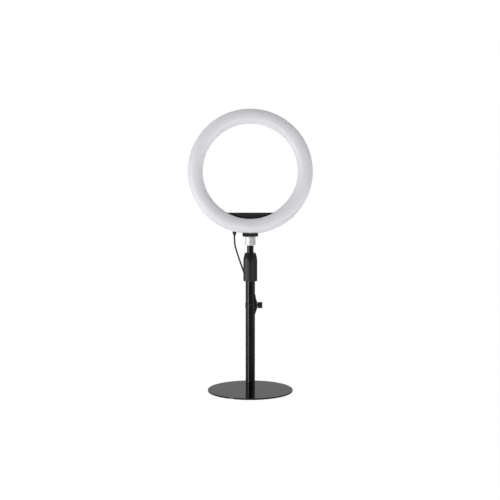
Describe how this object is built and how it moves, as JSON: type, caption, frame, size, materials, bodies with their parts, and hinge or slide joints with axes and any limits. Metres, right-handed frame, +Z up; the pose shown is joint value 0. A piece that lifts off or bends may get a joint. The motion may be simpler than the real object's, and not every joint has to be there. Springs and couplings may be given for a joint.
{
  "type": "ring light",
  "caption": "Ring light on a telescoping desk stand: opal ring diffuser in a black shell, twist-lock pole with a sliding clamp, round steel base and a cord with an inline remote.",
  "frame": {"origin": "centre of the base's underside, on the surface that it stands on", "axes": "+Z up along the pole; the light faces -Y; +X is to the right as seen from in front of the light, on the thumb screw's side"},
  "size_m": [0.26, 0.18, 0.596],
  "materials": {
    "black_enamel": "semi-gloss black enamel on steel",
    "black_gloss_tube": "gloss black enamel on steel tube",
    "satin_chrome": "satin chrome plate",
    "zinc_steel": "zinc plated steel",
    "brass": "machined brass",
    "black_abs": "fine textured black ABS",
    "grip_rubberised": "soft-touch charcoal plastic",
    "acetal": "natural acetal",
    "opal": "opal diffusing acrylic",
    "board_white": "white solder mask",
    "board_green": "green solder mask",
    "lamp_warm": "warm phosphor",
    "lamp_cool": "cool phosphor",
    "foam": "closed cell foam",
    "cord_jacket": "black PVC jacket",
    "soft_pvc": "moulded black PVC",
    "wire_colours": "PVC insulated wire",
    "button_rubber": "grey silicone rubber",
    "plug_metal": "nickel plated steel",
    "plug_insulator": "white insulator"
  },
  "bodies": {
    "stand": {"base_pad": "foam", "base_plate": "black_enamel", "base_screw": "zinc_steel", "pole_foot_plug": "zinc_steel", "pole_tube": "black_enamel", "lock_bush": "black_abs"},
    "lock_thrust": {"thrust_ring": "acetal"},
    "lock_grip": {"grip_sleeve": "grip_rubberised"},
    "swivel": {"collet": "acetal", "remote_base": "black_abs", "remote_cover": "black_abs", "remote_board": "board_green", "remote_relief_upper": "soft_pvc", "remote_relief_lower": "soft_pvc", "cord_lower": "cord_jacket", "cord_hank": "cord_jacket", "hank_tie": "soft_pvc", "cord_tail": "cord_jacket", "usb_boot": "soft_pvc", "usb_shell": "plug_metal", "usb_tongue": "plug_insulator"},
    "head": {"inner_tube": "black_gloss_tube", "tube_guide": "acetal", "tube_top_plug": "zinc_steel", "spigot": "satin_chrome", "spigot_stud": "zinc_steel", "head_foot": "black_abs", "foot_insert": "brass", "foot_screws": "zinc_steel", "back_shell": "black_abs", "accessory_insert": "brass", "diffuser": "opal", "led_board": "board_white", "leds_warm": "lamp_warm", "leds_cool": "lamp_cool", "board_screws": "zinc_steel", "cord_gland": "soft_pvc", "lead_wires": "wire_colours", "cord_upper": "cord_jacket"},
    "clamp": {"pole_clamp": "grip_rubberised"},
    "pressure_pad": {"clamp_pad": "acetal"},
    "thumb_screw": {"clamp_screw": "zinc_steel", "clamp_knob": "grip_rubberised"},
    "power_key": {"button_power": "button_rubber"},
    "colour_key": {"button_colour": "button_rubber"},
    "brighter_key": {"button_brighter": "button_rubber"},
    "dimmer_key": {"button_dimmer": "button_rubber"}
  },
  "joints": [
    {"name": "lock_travel", "type": "slide", "parent": "stand", "child": "lock_thrust", "axis": [0, 0, 1], "range_m": [0, 0.0008]},
    {"name": "lock_turn", "type": "hinge", "parent": "lock_thrust", "child": "lock_grip", "pos_m": [0, 0, 0.265], "axis": [0, 0, 1], "range_deg": [0, 120.5]},
    {"name": "head_pan", "type": "hinge", "parent": "stand", "child": "swivel", "pos_m": [0, 0, 0.27], "axis": [0, 0, 1], "range_deg": [-90, 90]},
    {"name": "head_lift", "type": "slide", "parent": "swivel", "child": "head", "axis": [0, 0, 1], "range_m": [0, 0.18]},
    {"name": "clamp_slide", "type": "slide", "parent": "stand", "child": "clamp", "axis": [0, 0, 1], "range_m": [-0.14, 0.02]},
    {"name": "pad_travel", "type": "slide", "parent": "clamp", "child": "pressure_pad", "axis": [1, 0, 0], "range_m": [0, 0.0008]},
    {"name": "knob_turn", "type": "hinge", "parent": "pressure_pad", "child": "thumb_screw", "pos_m": [0.02, 0, 0.1844], "axis": [1, 0, 0], "range_deg": [0, 361]},
    {"name": "power_press", "type": "slide", "parent": "swivel", "child": "power_key", "axis": [0, -1, 0], "range_m": [0, 0.0008], "stiffness_N_per_m": 500, "springref_m": -0.0004},
    {"name": "colour_press", "type": "slide", "parent": "swivel", "child": "colour_key", "axis": [0, -1, 0], "range_m": [0, 0.0008], "stiffness_N_per_m": 500, "springref_m": -0.0004},
    {"name": "brighter_press", "type": "slide", "parent": "swivel", "child": "brighter_key", "axis": [0, -1, 0], "range_m": [0, 0.0008], "stiffness_N_per_m": 500, "springref_m": -0.0004},
    {"name": "dimmer_press", "type": "slide", "parent": "swivel", "child": "dimmer_key", "axis": [0, -1, 0], "range_m": [0, 0.0008], "stiffness_N_per_m": 500, "springref_m": -0.0004}
  ],
  "couplings": [
    {"joint": "lock_turn", "follows": "lock_travel", "rad_per_m": 2618},
    {"joint": "knob_turn", "follows": "pad_travel", "rad_per_m": 7854}
  ]
}
